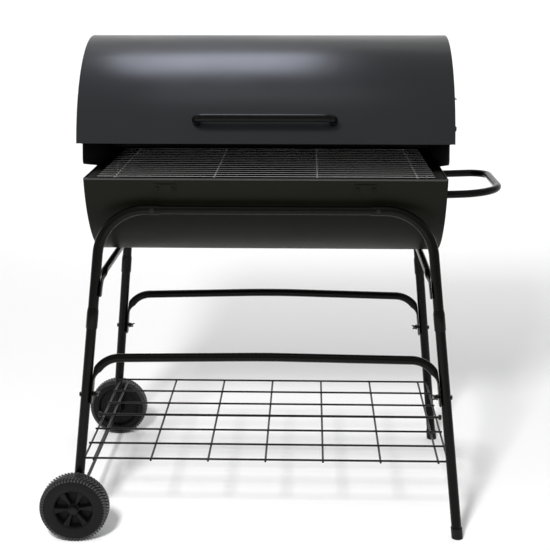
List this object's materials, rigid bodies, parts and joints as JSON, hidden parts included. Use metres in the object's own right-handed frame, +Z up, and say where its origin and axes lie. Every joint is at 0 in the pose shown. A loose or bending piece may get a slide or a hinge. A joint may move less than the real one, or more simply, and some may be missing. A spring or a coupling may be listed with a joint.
{
  "type": "barrel charcoal grill",
  "caption": "Half-barrel charcoal grill with hinged hood, on a splayed tube stand with wheels at one end, a wire shelf below and a push handle at the other end.",
  "frame": {"origin": "on the floor, under the centre of the bounding box", "axes": "+X along the barrel from the wheels to the side handle, +Y to the hinge side, +Z up"},
  "size_m": [1.0314, 0.689, 1.0838],
  "materials": {
    "lid_enamel": "satin charcoal enamel",
    "firebox_enamel": "satin black heat-proof enamel",
    "tube_enamel": "satin black powder coat",
    "grate_chrome": "bright plated wire",
    "shelf_enamel": "black coated wire",
    "wheel_plastic": "moulded black",
    "cap_plastic": "moulded black",
    "black_steel": "black zinc plated"
  },
  "bodies": {
    "frame": {"firebox_shell": "firebox_enamel", "firebox_end_left": "firebox_enamel", "firebox_end_right": "firebox_enamel", "grate_ledge_left": "firebox_enamel", "grate_ledge_right": "firebox_enamel", "tray_rail_front": "firebox_enamel", "tray_rail_rear": "firebox_enamel", "rail_plate_front_left": "black_steel", "leg_upper_front_left": "tube_enamel", "leg_lower_front_left": "tube_enamel", "stretcher_bolt_front_left": "black_steel", "wing_nut_front_left": "black_steel", "rail_plate_front_right": "black_steel", "leg_upper_front_right": "tube_enamel", "leg_lower_front_right": "tube_enamel", "stretcher_bolt_front_right": "black_steel", "wing_nut_front_right": "black_steel", "crossbar_front": "tube_enamel", "stretcher_front": "tube_enamel", "foot_cap_front_right": "cap_plastic", "hub_cap_front": "cap_plastic", "rail_plate_rear_left": "black_steel", "leg_upper_rear_left": "tube_enamel", "leg_lower_rear_left": "tube_enamel", "stretcher_bolt_rear_left": "black_steel", "wing_nut_rear_left": "black_steel", "rail_plate_rear_right": "black_steel", "leg_upper_rear_right": "tube_enamel", "leg_lower_rear_right": "tube_enamel", "stretcher_bolt_rear_right": "black_steel", "wing_nut_rear_right": "black_steel", "crossbar_rear": "tube_enamel", "stretcher_rear": "tube_enamel", "foot_cap_rear_right": "cap_plastic", "hub_cap_rear": "cap_plastic", "crossbar_screw_front_left": "black_steel", "side_brace_left": "tube_enamel", "shelf_side_rod_left": "shelf_enamel", "hinge_pin_left": "black_steel", "crossbar_screw_front_right": "black_steel", "side_brace_right": "tube_enamel", "shelf_side_rod_right": "shelf_enamel", "hinge_pin_right": "black_steel", "shelf_panel": "shelf_enamel", "shelf_center_bar": "shelf_enamel", "axle": "black_steel", "side_handle": "tube_enamel"},
    "lid": {"lid_shell": "lid_enamel", "lid_end_left": "lid_enamel", "lid_end_right": "lid_enamel", "lid_handle": "tube_enamel", "handle_screw_left": "black_steel", "handle_screw_right": "black_steel", "vent_screw": "black_steel"},
    "damper": {"vent_damper": "lid_enamel"},
    "front_wheel": {"wheel_front": "wheel_plastic"},
    "rear_wheel": {"wheel_rear": "wheel_plastic"},
    "grate": {"cooking_grate": "grate_chrome"},
    "tray": {"charcoal_tray": "firebox_enamel"}
  },
  "joints": [
    {"name": "lid_hinge", "type": "hinge", "parent": "frame", "child": "lid", "pos_m": [-0.01877, 0.205, 0.765], "axis": [-1, 0, 0], "range_deg": [-10, 62]},
    {"name": "vent_turn", "type": "hinge", "parent": "lid", "child": "damper", "pos_m": [0.37283, -0.09538, 0.88701], "axis": [1, 0, 0], "range_deg": [0, 45]},
    {"name": "front_wheel_spin", "type": "hinge", "parent": "frame", "child": "front_wheel", "pos_m": [-0.43973, -0.3194, 0.076], "axis": [0, 1, 0], "continuous": true},
    {"name": "rear_wheel_spin", "type": "hinge", "parent": "frame", "child": "rear_wheel", "pos_m": [-0.43973, 0.3194, 0.076], "axis": [0, 1, 0], "continuous": true},
    {"name": "grate_lift", "type": "slide", "parent": "frame", "child": "grate", "axis": [0, 0, 1], "range_m": [0, 0.1]},
    {"name": "tray_lift", "type": "slide", "parent": "frame", "child": "tray", "axis": [0, 0, 1], "range_m": [0, 0.05]}
  ]
}
